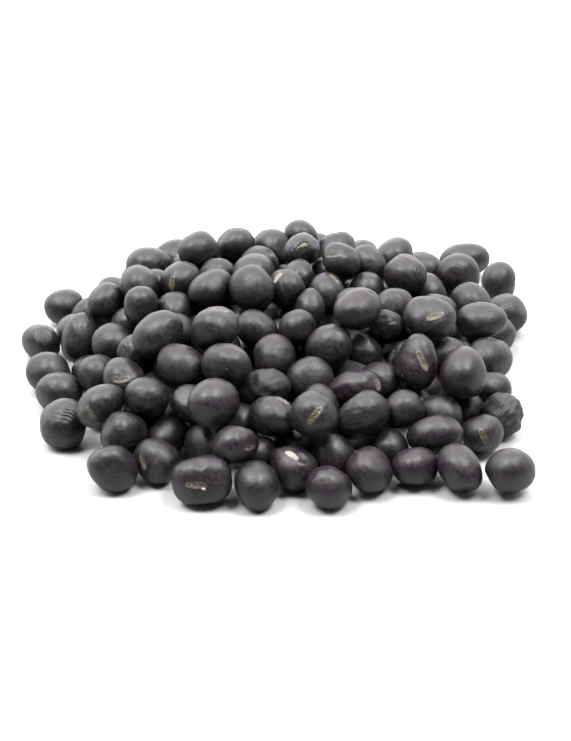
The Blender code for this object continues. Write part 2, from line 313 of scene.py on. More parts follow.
# How a bean's scar varies in length and how little it tips, and how its skin is coloured: towards purple to
# the right and front, how much that varies, and how dull a common bean is at most
SCAR_SHORTEST = 0.85
SCAR_SPREAD = 0.3
SCAR_TIP = 0.1
TINT_RIGHT = 0.2
TINT_BACK = 0.25
TINT_SPREAD = 0.7
DULL_MOST = 0.35

# The scar: an oval with a raised rim, sunk inside, with a groove along its middle, in a shallow bed, and the
# low ridge of the seed's root past one end
SCAR_LENGTH = 3.3
SCAR_WIDTH = 1.15
SCAR_ENDS = 2.8
SCAR_BED_DEPTH = 0.2
SCAR_BED_LENGTH = 2.7
SCAR_BED_WIDTH = 1.5
RIM_HEIGHT = 0.06
RIM_WIDTH = 0.208
SCAR_SINK = 0.05
GROOVE_DEPTH = 0.06
GROOVE_WIDTH = 0.11
ROOT_HEIGHT = 0.17
ROOT_PLACE = 2.9
ROOT_LENGTH = 1.1
ROOT_WIDTH = 0.75

# Creases: how they wander, as height, waves for each millimetre and start of a wave; the width of a single
# one and of the lips beside it; and the form of the folds where several run side by side
CREASE_BENDS = ((0.16, 1.3), (0.07, 3.7))
CREASE_HALF_WIDTH = 0.24
LIP_HEIGHT = 0.2
LIP_PLACE = 0.5
LIP_WIDTH = 0.3
FOLD_WANDER = (0.6, 0.9)
FOLD_SHARPNESS = 1.6
FOLD_DEPTH = 1.6
FOLD_RAISE = 0.35

# How finely each kind of bean is made: places round it, rings down it, and how they gather at its scar
PLAIN_MESH = (48, 34, 1.0)
SCARRED_MESH = (72, 52, 1.5)
CREASED_MESH = (96, 68, 1.0)
SPLIT_MESH = (96, 60, 1.7)
BURIED_MESH = (32, 20, 1.0)

# The split: its size, the least it opens, how much wider one end is, and how far it bows; its ragged edge, as
# height, waves for each millimetre and start of a wave; how far the skin lifts beside it, and how widely
SPLIT_LENGTH = 2.9
SPLIT_WIDTH = 1.3
SPLIT_THINNEST = 0.05
SPLIT_EVEN = 0.55
SPLIT_UNEVEN = 0.45
SPLIT_BOW = 0.25
SPLIT_EDGES = ((0.12, 9, 0), (0.08, 23, 1))
LIFT_HEIGHT = 0.1
LIFT_WIDTH = 0.6
PAST_SCAR = 9.0

# The split bean's skin and the kernel inside it, with a low grain
SKIN_THICKNESS = 0.13
KERNEL_SHARE = 0.955
KERNEL_GRAIN = 0.004
KERNEL_WAVES = (7, 9)

# A speck of size 1, how finely it is made, and how much its outline varies
SPECK_LENGTH = 0.3
SPECK_WIDTH = 0.2
SPECK_THICKNESS = 0.08
SPECK_MESH = (10, 6)
SPECK_RAGGED = 0.25
SPECK_WAVES = (5, 4)
SPECK_START = 3

# Tone, tint, dullness and paleness of a scar, where none of them shows
COMMON_TRAITS = (0.5, 0.5, 0.5, 0.5)

# The core, deep enough under the beans to stay dark
CORE_SPOKES = 96
CORE_RINGS = 30
CORE_SINK = 7.6
CORE_FALL = 0.9
CORE_INSET = 3.5
SPOKE_HALF_WIDTH = 5.0
BESIDE_SPOKE = 0.06
LOWEST_CORE = 0.8
CORE_FOOT = 0.05

# Whether a bean shows: how many slanting ways out are tried and how steep they are, the room that a way
# needs, and how far along it the next bean counts
SLANTS = 8
SLANT_RISE = 0.6
WAY_OUT_RADIUS = 5.5
NEXT_BEAN = 0.1

# Camera: the picture's height in pixels, how many of them a millimetre takes, and how far up it aims
PICTURE_HEIGHT = 741
PIXELS_PER_MM = 5.15
AIM_UP = 2.04
SENSOR_HEIGHT = 36.0

# The floor and the lamps in metres, and the power of a lamp in watts
FLOOR_SIZE = 4.0
LAMP_HEIGHT = 0.85
LAMP_APART = 0.36
LAMP_FORWARD = 0.14
LAMP_SIZE = 0.36
LAMP_POWER = 11.0

# The room: its light at the sides and above, how far back the bright part leans, how much darker it is in
# front and to the right, and where each of these starts and is full
SIDE_LIGHT = 0.7
TOP_LIGHT = 5.1
TOP_BACK = 1.15
TOP_EDGES = (0.04, 0.62)
FRONT_DARK = 0.95
FRONT_EDGES = (0.45, 0.92)
RIGHT_DARK = 0.45
RIGHT_EDGES = (0.1, 0.9)
ROOM_COLOUR = (1.0, 0.975, 0.995, 1.0)


def dot(a, b):
    return a[0] * b[0] + a[1] * b[1] + a[2] * b[2]


def unit(a):
    length = sqrt(dot(a, a))
    return [a[0] / length, a[1] / length, a[2] / length]


def cross(a, b):
    return [
        a[1] * b[2] - a[2] * b[1],
        a[2] * b[0] - a[0] * b[2],
        a[0] * b[1] - a[1] * b[0],
    ]


def mound_height(x, y):
    """Height of the middles of the outermost beans at a place on the floor."""
    s = (x / HALF_WIDTH) ** 2
    t = ((y - MIDDLE_BACK) / HALF_DEPTH) ** 2
    out = (1 - SQUARENESS) * (s + t) + SQUARENESS * sqrt(s * s + t * t)
    if out >= 1:
        return BEAN / 2
    return BEAN / 2 + MOUND_LIFT * 0.5 * ((1 - out) + (1 - out * sqrt(out)))


class Bean:
    """An ellipsoid with a middle, three half sizes and three axes: along it, across it and through it."""

    def __init__(self, draws, place, size, form=PLAIN_FORM, lie=None, sight=None):
        self.place = list(place)
        self.home = tuple(place)
        self.sight = sight
        self.half = [size / 2 * share * (1 + FORM_SPREAD * (2 * draws.random() - 1)) for share in form]
        loose = [draws.random() - 0.5, draws.random() - 0.5, TIP_SHARE * (draws.random() - 0.5)]
        along = unit(lie or loose)
        through = unit(cross(along, [draws.random() - 0.5, draws.random() - 0.5, draws.random() - 0.5]))
        self.axes = [along, cross(through, along), through]

    def radius(self, way):
        """How far its skin is from its middle in one direction."""
        shares = [dot(way, axis) / half for axis, half in zip(self.axes, self.half)]
        return 1 / sqrt(dot(shares, shares))

    def reach(self, axis):
        """How far it reaches along X, Y or Z, numbered from 0."""
        spans = [way[axis] * half for way, half in zip(self.axes, self.half)]
        return sqrt(dot(spans, spans))


def standing_out(draws):
    """The beans of the rows above, each on the mound where its line of sight meets it."""
    beans = []
    rows = [(row, 0.0) for row in FRONT_ROW + LEFT_SIDE + RIGHT_SIDE + BACK_ROW + PROUD]
    rows += [(row, BETWEEN_DEPTH) for row in BETWEEN]
    for (across, up, size, *lie), depth in rows:
        sight = unit([across, -EYE[1] + up * EYE_RISE, -EYE[2] + up * EYE_RUN])
        away = SIGHT_START
        place = [EYE[k] + away * sight[k] for k in range(3)]
        while away < SIGHT_END and place[2] > max(BEAN / 2, mound_height(place[0], place[1]) - depth):
            away += SIGHT_STEP
            place = [EYE[k] + away * sight[k] for k in range(3)]
        form = LONG_FORM if lie else PLAIN_FORM
        beans.append(Bean(draws, place, size, form, LIES[lie[0]] if lie else None, sight=sight))
    return beans


def fill_in(draws, beans):
    """Adds beans at random, shell by shell, wherever there is room for one more."""
    for depth, spacing in zip(SHELL_DEPTHS, SHELL_SPACING):
        for _ in range(SHELL_TRIES):
            x = (2 * draws.random() - 1) * HALF_WIDTH
            y = (2 * draws.random() - 1) * HALF_DEPTH + MIDDLE_BACK
            surface = mound_height(x, y)
            if surface <= BEAN / 2 or surface - depth < BEAN / 2 - SHELL_UNDERRUN:
                continue
            place = (x, y, max(surface - depth, BEAN / 2))
            apart = [[a - b for a, b in zip(place, bean.place)] for bean in beans]
            if min(dot(gap, gap) for gap in apart) > spacing * spacing:
                size = FILLING_BEAN * (1 + FILLING_SPREAD * (draws.random() + draws.random() - 1))
                beans.append(Bean(draws, place, size))


def neighbours(beans):
    """Pairs of beans that are near enough to touch soon."""
    pairs = []
    for i, bean in enumerate(beans):
        for other in beans[i + 1 :]:
            apart = [a - b for a, b in zip(bean.place, other.place)]
            if dot(apart, apart) < NEIGHBOUR_REACH**2:
                pairs.append((bean, other))
    return pairs


def push_apart(bean, other):
    """Moves two beans that overlap half the overlap each."""
    apart = [b - a for a, b in zip(bean.place, other.place)]
    far = sqrt(dot(apart, apart))
    if far >= max(bean.half) + max(other.half):
        return
    way = [x / far for x in apart]
    overlap = bean.radius(way) + other.radius(way) - far
    if overlap > 0:
        for k in range(3):
            bean.place[k] -= way[k] * overlap / 2
            other.place[k] += way[k] * overlap / 2


def hold(bean):
    """Draws a bean back towards its line of sight, or a filling one towards its home."""
    if bean.sight:
        offset = [a - b for a, b in zip(bean.place, EYE)]
        along = dot(offset, bean.sight)
        for k in range(3):
            bean.place[k] += SEEN_PULL * (EYE[k] + along * bean.sight[k] - bean.place[k])
    else:
        for k in range(2):
            bean.place[k] += FILL_PULL * (bean.home[k] - bean.place[k])


def drop(beans):
    """Lets all beans fall a little at a time, and settles the overlaps at each step."""
    for step in range(DROP_STEPS):
        falling = step < DROP_SHARE * DROP_STEPS
        if step % NEIGHBOUR_STEPS == 0:
            pairs = neighbours(beans)
        for bean in beans:
            bean.place[2] -= DROP_FALL if falling else 0.0
        for bean, other in pairs:
            push_apart(bean, other)
        for bean in beans:
            bean.place[2] = max(bean.place[2], bean.reach(2))
            if falling:
                hold(bean)


def on_mound(bean):
    """Whether the bean lies over the mound and not beside it."""
    return mound_height(bean.place[0], bean.place[1]) > BEAN / 2


def inside_skyline(bean):
    """Whether the bean's middle is seen under the skyline."""
    offset = [a - b for a, b in zip(bean.place, EYE)]
    scale = EYE_AWAY / dot(offset, (0.0, EYE_RUN, -EYE_RISE))
    across = scale * offset[0] / SKYLINE_HALF_WIDTH
    up = scale * dot(offset, (0.0, EYE_RISE, EYE_RUN))
    return abs(across) < 1 and up < SKYLINE_FOOT + SKYLINE_RISE * sqrt(1 - across * across)


def centre(beans):
    """Moves the heap so that the middle of its box is over the origin, and says how far."""
    shift = []
    for k in range(2):
        low = min(bean.place[k] - bean.reach(k) for bean in beans)
        high = max(bean.place[k] + bean.reach(k) for bean in beans)
        for bean in beans:
            bean.place[k] -= (low + high) / 2
        shift.append((low + high) / 2)
    return shift


def pour():
    """All the beans of the heap, at rest, and how far they were moved to stand over the origin."""
    draws = random.Random(SEED)
    beans = standing_out(draws)
    fill_in(draws, beans)
    drop(beans)
    beans = [bean for bean in beans if bean.sight or (on_mound(bean) and inside_skyline(bean))]
    return beans, centre(beans)


def shows(bean, beans):
    """Whether a straight way up or slanting up from the bean passes all the others."""
    turns = [2 * pi * number / SLANTS for number in range(SLANTS)]
    for way in [(0.0, 0.0, 1.0), *(unit((cos(turn), sin(turn), SLANT_RISE)) for turn in turns)]:
        for other in beans:
            apart = [a - b for a, b in zip(other.place, bean.place)]
            along = dot(apart, way)
            if along > NEXT_BEAN and dot(apart, apart) - along * along < WAY_OUT_RADIUS**2:
                break
        else:
            return True
    return False


class View:
    """The heap's front view: finds what is in front at a place of it."""

    def __init__(self, beans, shift):
        self.beans = beans
        self.eye = [EYE[0] - shift[0], EYE[1] - shift[1], EYE[2]]

    def find(self, across, up):
        """The bean that is in front there and the way from its middle to its skin, or the nearest to that."""
        sight = unit([across, -EYE[1] + up * EYE_RISE, -EYE[2] + up * EYE_RUN])
        found = []
        for bean in self.beans:
            offset = [a - b for a, b in zip(self.eye, bean.place)]
            start = [dot(offset, axis) / half for axis, half in zip(bean.axes, bean.half)]
            way = [dot(sight, axis) / half for axis, half in zip(bean.axes, bean.half)]
            square, middle, rest = dot(way, way), dot(start, way), dot(start, start) - 1
            miss = max(0.0, square * rest - middle * middle)
            away = (-middle - sqrt(max(0.0, middle * middle - square * rest))) / square
            # Beans on the line of sight come first and the nearest of them foremost, then the least miss.
            found.append((miss > 0, miss if miss > 0 else away, len(found), bean, away))
        bean, away = min(found)[3:]
        return bean, unit([e + away * s - p for e, s, p in zip(self.eye, sight, bean.place)])

    def tilted(self, degrees):
        """A direction in the picture, counted from its right towards its top."""
        turn = radians(degrees)
        return [cos(turn), sin(turn) * EYE_RISE, sin(turn) * EYE_RUN]


def made_square(way, normal):
    """The part of a direction that is square to another."""
    share = dot(way, normal)
    return unit([a - share * b for a, b in zip(way, normal)])


class Looks:
    """How one bean's skin differs from a plain ellipsoid, and how it is coloured."""

    def __init__(self, draws, bean, view):
        self.kind = "buried"
        self.mesh = BURIED_MESH
        way = unit([draws.random() - 0.5, draws.random() - 0.5, draws.random() - 0.5])
        if draws.random() < SCARS_BELOW:
            way = unit([way[0], way[1], -BELOW_PULL])
        to_eye = [a - b for a, b in zip(view.eye, bean.place)]
        self.facing = [-x for x in way] if dot(way, to_eye) > 0 else way
        scar_way = unit([draws.random() - 0.5, draws.random() - 0.5, SCAR_TIP])
        self.length_way = made_square(scar_way, self.facing)
        self.scar_length = SCAR_LENGTH * (SCAR_SHORTEST + SCAR_SPREAD * draws.random())
        self.pale = draws.random()
        self.square = SQUARE_MEAN + SQUARE_SPREAD * (2 * draws.random() - 1)
        self.taper = TAPER_MOST * (2 * draws.random() - 1)
        self.stretch = STRETCH_MOST * draws.random()
        self.lumps = [self.loose_way(draws) + [LUMP_MOST * (2 * draws.random() - 1)] for _ in range(LUMPS)]
        spread = FLAT_FAR - FLAT_NEAR
        self.flats = [self.loose_way(draws) + [FLAT_NEAR + spread * draws.random()] for _ in range(FLATS)]
        self.waves = [self.loose_way(draws) + [draws.random(), draws.random()] for _ in range(RIPPLES)]
        self.points = []
        self.creases = []
        self.pits = []
        self.tone = draws.random()
        right = TINT_RIGHT * bean.place[0] / HALF_WIDTH
        back = TINT_BACK * bean.place[1] / HALF_DEPTH
        self.tint = min(1.0, max(0.0, 0.5 + right - back + TINT_SPREAD * (draws.random() - 0.5)))
        self.dull = DULL_MOST * draws.random()

    @staticmethod
    def loose_way(draws):
        """Any direction."""
        return unit([draws.random() - 0.5 for _ in range(3)])

    def take_scar(self, way, tilted, length, pale):
        """Turns the bean's scar to where it is seen."""
        self.kind = "scarred"
        self.mesh = SCARRED_MESH
        self.facing = way
        self.length_way = made_square(tilted, way)
        self.scar_length = length
        self.pale = pale


def dress(beans, view):
    """Gives every bean its looks: at random first, and then what the heap shows to its front."""
    draws = random.Random(SEED + 1)
    looks = {id(bean): Looks(draws, bean, view) for bean in beans}
    for bean in beans:
        if shows(bean, beans):
            looks[id(bean)].kind = "plain"
            looks[id(bean)].mesh = PLAIN_MESH
    for across, up, *creases in CREASES:
        bean, way = view.find(across, up)
        looks[id(bean)].kind = "creased"
        looks[id(bean)].mesh = CREASED_MESH
        tilt, *sizes = creases
        looks[id(bean)].creases.append((way, made_square(view.tilted(tilt), way), *sizes))
    for across, up, tilt, length, pale in SCARS:
        bean, way = view.find(across, up)
        if looks[id(bean)].kind != "scarred":
            creases = looks[id(bean)].creases
            looks[id(bean)].take_scar(way, view.tilted(tilt), length, pale)
            looks[id(bean)].creases = creases
    for across, up, radius, depth in PITS:
        bean, way = view.find(across, up)
        looks[id(bean)].pits.append((way, radius, depth))
    for across, up, square, tilt, point in FORMS:
        bean = view.find(across, up)[0]
        looks[id(bean)].square = square
        looks[id(bean)].points.append((unit(view.tilted(tilt)), point))
    for across, up in DULL:
        looks[id(view.find(across, up)[0])].dull = 1.0
    bean, way = view.find(*SPLIT)
    looks[id(bean)].take_scar(way, view.tilted(SPLIT_TILT), SCAR_LENGTH, 0.5)
    looks[id(bean)].kind = "split"
    looks[id(bean)].mesh = SPLIT_MESH
    return looks


def ball_ways(facing, length_way, around, down, gather):
    """Directions from a bean's middle: rings about the way its scar faces, with one at each pole."""
    across_way = np.cross(facing, length_way)
    from_pole = pi * (np.arange(1, down) / down) ** gather
    turn = 2 * pi * np.arange(around) / around
    ring = np.cos(turn)[:, None] * np.array(length_way) + np.sin(turn)[:, None] * across_way
    ways = np.cos(from_pole)[:, None, None] * np.array(facing) + np.sin(from_pole)[:, None, None] * ring
    return np.vstack([[facing], ways.reshape(-1, 3), [[-x for x in facing]]])


def ball_faces(around, down):
    """Faces on those directions: triangles at both poles and quads between."""
    last = 1 + around * (down - 1)
    faces = [(0, 1 + j, 1 + (j + 1) % around) for j in range(around)]
    for i in range(down - 2):
        for j in range(around):
            near, far = 1 + i * around, 1 + (i + 1) * around
            beside = (j + 1) % around
            faces.append((near + j, far + j, far + beside, near + beside))
    low = last - around
    faces += [(low + j, last, low + (j + 1) % around) for j in range(around)]
    return faces


def bell(distance):
    """1 at nought, and softly down to nothing on both sides."""
    return np.exp(-distance * distance)


def skin_points(bean, looks):
    """Points of a bean's skin from its middle, and where each lies along, across and over its scar."""
    ways = ball_ways(looks.facing, looks.length_way, *looks.mesh)
    axes, half = np.array(bean.axes), np.array(bean.half)
    shares = ways @ axes.T / half
    shares /= np.linalg.norm(shares, axis=1)[:, None]
    # A squarer bean is drawn in by half of what its corners gain.
    corner = 3 ** ((0.5 - 1 / looks.square) / 2)
    square = (np.abs(shares) ** looks.square).sum(1) ** (-1 / looks.square) / corner
    local = shares * half * square[:, None]
    local[:, 1:] *= 1 + looks.taper * shares[:, :1]
    local *= [1 + looks.stretch, 1, 1 - looks.stretch]
    points = local @ axes
    for *lump_way, height in looks.lumps:
        points += ways * (height * bell((1 - ways @ lump_way) / LUMP_WIDTH))[:, None]
    for *flat_way, far in looks.flats:
        over = points @ flat_way - far * bean.radius(flat_way)
        over = (over + np.hypot(over, FLAT_EDGE)) / 2 * (over > -FLAT_TAIL * FLAT_EDGE)
        points -= np.outer(FLAT_SHARE * over, flat_way)
    for point_way, height in looks.points:
        points += np.outer(height * np.maximum(0, ways @ point_way) ** POINT_SHARPNESS, point_way)
    for *wave_way, share, phase in looks.waves:
        length = RIPPLE_SHORTEST + (RIPPLE_LONGEST - RIPPLE_SHORTEST) * share
        height = RIPPLE_HEIGHT * (1 + DULL_RIPPLE * looks.dull**3)
        points += ways * (height * np.sin(2 * pi * (points @ wave_way / length + phase)))[:, None]
    points += ways * crease_relief(points, ways, looks)[:, None]
    for way, radius, depth in looks.pits:
        beside = points - np.outer(points @ way, way)
        out = np.where(ways @ way > 0, np.linalg.norm(beside, axis=1) / radius, PAST_PIT)
        lip = PIT_LIP * bell((out - PIT_LIP_PLACE) * PIT_LIP_SHARPNESS)
        points += ways * (depth * (lip - bell(out)))[:, None]
    along = points @ looks.length_way
    across = points @ np.cross(looks.facing, looks.length_way)
    height = points @ looks.facing
    if looks.kind != "split":
        points += ways * np.where(height > 0, scar_relief(along, across, looks), 0)[:, None]
    skin_place = np.stack([along * SCAR_LENGTH / looks.scar_length, across, height], 1)
    points[:, 2] = np.maximum(points[:, 2], LOWEST_SKIN - bean.place[2])
    return points, skin_place


def scar_relief(along, across, looks):
    """Height of the skin round and in the scar, against the plain skin."""
    shares = np.abs([along / (looks.scar_length / 2), across / (SCAR_WIDTH / 2)])
    out = (shares**SCAR_ENDS).sum(0) ** (1 / SCAR_ENDS)
    bed = -SCAR_BED_DEPTH * bell(np.hypot(along / SCAR_BED_LENGTH, across / SCAR_BED_WIDTH))
    rim = RIM_HEIGHT * bell((out - 1) / RIM_WIDTH)
    inside = np.clip(1 - out * out, 0, 1)
    sunk = -SCAR_SINK * np.sqrt(inside) - GROOVE_DEPTH * bell(across / GROOVE_WIDTH) * inside
    root = ROOT_HEIGHT * bell(np.hypot((along - ROOT_PLACE) / ROOT_LENGTH, across / ROOT_WIDTH))
    return bed + rim + sunk + root


def crease_relief(points, ways, looks):
    """Depth of all creases of a bean, as heights below nought."""
    relief = np.zeros(len(points))
    for number, (middle, run, count, spacing, length, depth) in enumerate(looks.creases):
        along = points @ run
        (slow, slow_rate), (quick, quick_rate) = CREASE_BENDS
        bend = slow * np.sin(along * slow_rate + number) + quick * np.sin(along * quick_rate)
        beside = points @ np.cross(run, middle) + bend
        fade = bell((along / (length / 2)) ** 2) * (ways @ middle > 0)
        if count == 1:
            lips = LIP_HEIGHT * bell((np.abs(beside) - LIP_PLACE) / LIP_WIDTH)
            relief -= depth * fade * (bell(beside / CREASE_HALF_WIDTH) - lips)
        else:
            fade = fade * bell((beside / (count * spacing / 2)) ** 2)
            wander = FOLD_WANDER[0] * np.sin(along * FOLD_WANDER[1])
            fold = 1 - np.abs(np.sin(pi * beside / spacing + wander))
            relief -= depth * fade * (FOLD_DEPTH * fold**FOLD_SHARPNESS - FOLD_RAISE)
    return relief


class Batch:
    """Beans of one kind, gathered to become one mesh."""

    def __init__(self, name, material):
        self.name = name
        self.material = material
        self.points = []
        self.faces = []
        self.places = []
        self.traits = []
        self.count = 0

    def add(self, points, faces, places, traits):
        self.points.append(points * METRES)
        self.faces += [tuple(corner + self.count for corner in face) for face in faces]
        self.places.append(places)
        self.traits.append(np.tile(traits, (len(points), 1)))
        self.count += len(points)

    def finish(self):
        """Makes the mesh, which keeps for each point its place about the scar and its bean's traits."""
        mesh = bpy.data.meshes.new(self.name)
        mesh.from_pydata(np.vstack(self.points).tolist(), [], self.faces)
        place = mesh.attributes.new("skin_place", "FLOAT_VECTOR", "POINT")
        place.data.foreach_set("vector", np.vstack(self.places).astype(np.float32).ravel())
        traits = mesh.attributes.new("bean_traits", "FLOAT_COLOR", "POINT")
        traits.data.foreach_set("color", np.vstack(self.traits).astype(np.float32).ravel())
        mesh.materials.append(self.material)
        mesh.shade_smooth()
        return place_piece(self.name, mesh)


def place_piece(name, mesh):
    """Puts a finished mesh into the scene as a piece of the heap."""
    piece = bpy.data.objects.new(name, mesh)
    bpy.context.scene.collection.objects.link(piece)
    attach(piece, "root")
    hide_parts("beans")
    return piece


def make_beans(beans, looks, skin):
    """All whole beans, one mesh for each kind, and the plain ones by side."""
    batches = {}
    for bean in beans:
        look = looks[id(bean)]
        if look.kind == "split":
            continue
        kind = look.kind
        if kind == "plain":
            kind = "plain_left" if bean.place[0] < 0 else "plain_right"
        if kind not in batches:
            batches[kind] = Batch(kind + "_beans", skin)
        points, places = skin_points(bean, look)
        faces = ball_faces(*look.mesh[:2])
        traits = (look.tone, look.tint, look.dull, look.pale)
        batches[kind].add(points + np.array(bean.place), faces, places, traits)
    return [batch.finish() for batch in batches.values()]


def make_split_bean(bean, look, skin, kernel):
    """A bean whose skin has burst in a narrow slit, with its green kernel inside."""
    points, places = skin_points(bean, look)
    along, across, over = places.T
    ragged = sum(height * np.sin(along * waves + start) for height, waves, start in SPLIT_EDGES)
    wide = SPLIT_WIDTH / 2 * (SPLIT_EVEN + SPLIT_UNEVEN * np.tanh(along) + ragged)
    bow = SPLIT_BOW * (along / SPLIT_LENGTH) ** 2
    out = np.hypot(along / (SPLIT_LENGTH / 2), (across + bow) / np.maximum(wide, SPLIT_THINNEST))
    open_skin = (out < 1) & (over > 0)
    lifted = LIFT_HEIGHT * bell((out - 1) / LIFT_WIDTH) * (over > 0)
    ways = points / np.linalg.norm(points, axis=1)[:, None]
    faces = [face for face in ball_faces(*look.mesh[:2]) if not any(open_skin[corner] for corner in face)]
    shell = Batch("split_skin", skin)
    traits = (look.tone, look.tint, look.dull, look.pale)
    no_scar = places + np.array([0.0, PAST_SCAR, 0.0])
    shell.add(points + ways * lifted[:, None] + np.array(bean.place), faces, no_scar, traits)
    piece = shell.finish()
    thick = piece.modifiers.new("skin_thickness", "SOLIDIFY")
    thick.thickness = SKIN_THICKNESS * METRES
    thick.offset = -1.0
    inner = Batch("green_kernel", kernel)
    grain = KERNEL_GRAIN * np.sin(along * KERNEL_WAVES[0]) * np.sin(across * KERNEL_WAVES[1])
    inner_points = points * (KERNEL_SHARE + grain[:, None])
    inner.add(inner_points + np.array(bean.place), ball_faces(*look.mesh[:2]), places, traits)
    return [piece, inner.finish()]


def make_specks(view, pale):
    """Pale flecks of chaff that cling to the skins."""
    draws = random.Random(SEED + 2)
    specks = Batch("chaff_specks", pale)
    for across, up, size in SPECKS:
        bean, way = view.find(across, up)
        along = made_square(view.tilted(180 * draws.random()), way)
        ways = ball_ways(way, along, *SPECK_MESH, 1.0)
        sizes = np.array([SPECK_LENGTH, SPECK_WIDTH, SPECK_THICKNESS]) / 2 * size
        axes = np.array([along, np.cross(way, along), way])
        bent = ways @ axes.T
        ragged = np.sin(SPECK_WAVES[0] * bent[:, :1] + SPECK_START) * np.cos(SPECK_WAVES[1] * bent[:, 1:2])
        bent *= (1 + SPECK_RAGGED * ragged) * sizes
        middle = np.array(bean.place) + np.array(way) * bean.radius(way)
        specks.add(bent @ axes + middle, ball_faces(*SPECK_MESH), bent, COMMON_TRAITS)
    return specks.finish()


def core_height(beans, x, y):
    """Height of the core at a place: well under the middles of the beans on top there."""
    tops = [
        bean.place[2] - CORE_SINK - CORE_FALL * hypot(x - bean.place[0], y - bean.place[1]) ** 2 / BEAN
        for bean in beans
    ]
    return max(LOWEST_CORE, *tops)


def core_reach(beans, turn):
    """How far out the core goes in one direction: short of the bean that is third from outside there."""
    outward = (cos(turn), sin(turn))
    reaches = []
    for bean in beans:
        beside = abs(bean.place[1] * outward[0] - bean.place[0] * outward[1])
        if beside < SPOKE_HALF_WIDTH:
            reaches.append(bean.place[0] * outward[0] + bean.place[1] * outward[1])
    return sorted(reaches)[-3] - CORE_INSET


def make_core(beans, material):
    """What the beans lie over: a low mound that follows them from below."""
    turns = [2 * pi * number / CORE_SPOKES for number in range(CORE_SPOKES)]
    beside = [step * BESIDE_SPOKE for step in (-2, -1, 0, 1, 2)]
    reaches = [min(core_reach(beans, turn + step) for step in beside) for turn in turns]
    points = [(0.0, 0.0, core_height(beans, 0.0, 0.0))]
    for ring in range(1, CORE_RINGS):
        for turn, reach in zip(turns, reaches):
            x, y = (cos(turn) * reach * ring / CORE_RINGS, sin(turn) * reach * ring / CORE_RINGS)
            points.append((x, y, core_height(beans, x, y)))
    rim = [(cos(turn) * reach, sin(turn) * reach, CORE_FOOT) for turn, reach in zip(turns, reaches)]
    points += rim + [(0.0, 0.0, CORE_FOOT)]
    points = np.array(points)
    core = Batch("core_of_heap", material)
    core.add(points, ball_faces(CORE_SPOKES, CORE_RINGS + 1), points, COMMON_TRAITS)
    return core.finish()


class Shade:
    """One number over a surface, the output socket of a node, which takes part in sums."""

    def __init__(self, finish, socket):
        self.finish = finish
        self.socket = socket

    def joined(self, operation, first, second):
        return self.finish.node("ShaderNodeMath", {"operation": operation}, {0: first, 1: second})

    def __add__(self, other):
        return self.joined("ADD", self, other)

    def __sub__(self, other):
        return self.joined("SUBTRACT", self, other)

    def __rsub__(self, other):
        return self.joined("SUBTRACT", other, self)

    def __mul__(self, other):
        return self.joined("MULTIPLY", self, other)

    def __truediv__(self, other):
        return self.joined("DIVIDE", self, other)

    def __pow__(self, other):
        return self.joined("POWER", self, other)

    def __abs__(self):
        return self.finish.node("ShaderNodeMath", {"operation": "ABSOLUTE"}, {0: self})

    def clamped(self):
        return self.finish.node("ShaderNodeClamp", {}, {"Value": self, "Min": 0.0, "Max": 1.0})

    def above(self, edge, steepness):
        """Rises from 0 to 1 above an edge."""
        return ((self - edge) * steepness).clamped()

    def below(self, edge, steepness):
        """Rises from 0 to 1 below an edge."""
        return ((edge - self) * steepness).clamped()

    def near(self, middle, steepness):
        """Falls from 1 to 0 on both sides of a value."""
        return (1 - abs(self - middle) * steepness).clamped()

    __radd__ = __add__
    __rmul__ = __mul__


class Finish:
    """The nodes of a material or a room, all made in one way."""

    def __init__(self, owner, shader):
        owner.use_nodes = True
        self.tree = owner.node_tree
        self.shader = self.tree.nodes[shader]

    def feed(self, socket, value):
        if isinstance(value, Shade):
            self.tree.links.new(value.socket, socket)
        else:
            socket.default_value = value

    def node(self, kind, settings=None, inputs=None, output=0):
        """Adds a node of any type, its settings first, and gives back one of its outputs."""
        made = self.tree.nodes.new(kind)
        for key, value in (settings or {}).items():
            setattr(made, key, value)
        for key, value in (inputs or {}).items():
            self.feed(made.inputs[key], value)
        return Shade(self, made.outputs[output])

    def set(self, socket, value):
        self.feed(self.shader.inputs[socket], value)

    def mix(self, factor, first, second):
        """A colour between two others."""
        inputs = {0: factor, 6: first, 7: second}
        return self.node("ShaderNodeMix", {"data_type": "RGBA"}, inputs, output=2)

    def noise(self, place, scale, detail=2.0, roughness=0.5):
        """Soft random spots, as numbers from 0 to 1."""
        inputs = {"Vector": place, "Scale": scale, "Detail": detail, "Roughness": roughness}
        return self.node("ShaderNodeTexNoise", {}, inputs)

    def place(self, output="Object"):
        return self.node("ShaderNodeTexCoord", output=output)

    def attribute(self, name, output):
        return self.node("ShaderNodeAttribute", {"attribute_name": name}, output=output)

    def parts(self, kind, value, names):
        """The separate numbers of a vector or a colour."""
        first = self.node(kind, {}, {0: value})
        return [Shade(self, first.socket.node.outputs[name]) for name in names]

    def towards(self, place, way):
        """How far a direction points one way, from -1 to 1."""
        inputs = {0: place, 1: way}
        return self.node("ShaderNodeVectorMath", {"operation": "DOT_PRODUCT"}, inputs, output="Value")

    def fade(self, value, low, high):
        """Goes softly from 0 to 1 between two values."""
        inputs = {"Value": value, "From Min": low, "From Max": high}
        return self.node("ShaderNodeMapRange", {"interpolation_type": "SMOOTHSTEP"}, inputs)


def new_material(name):
    material = bpy.data.materials.new(name)
    return material, Finish(material, "Principled BSDF")


# Noise in the skin: how many spots a metre has, how much detail they have and how rough that is
CLOUDS = (330.0, 3.0)
MOTTLES = (1500.0, 4.0, 0.65)
GRAINS = (5200.0, 2.0)

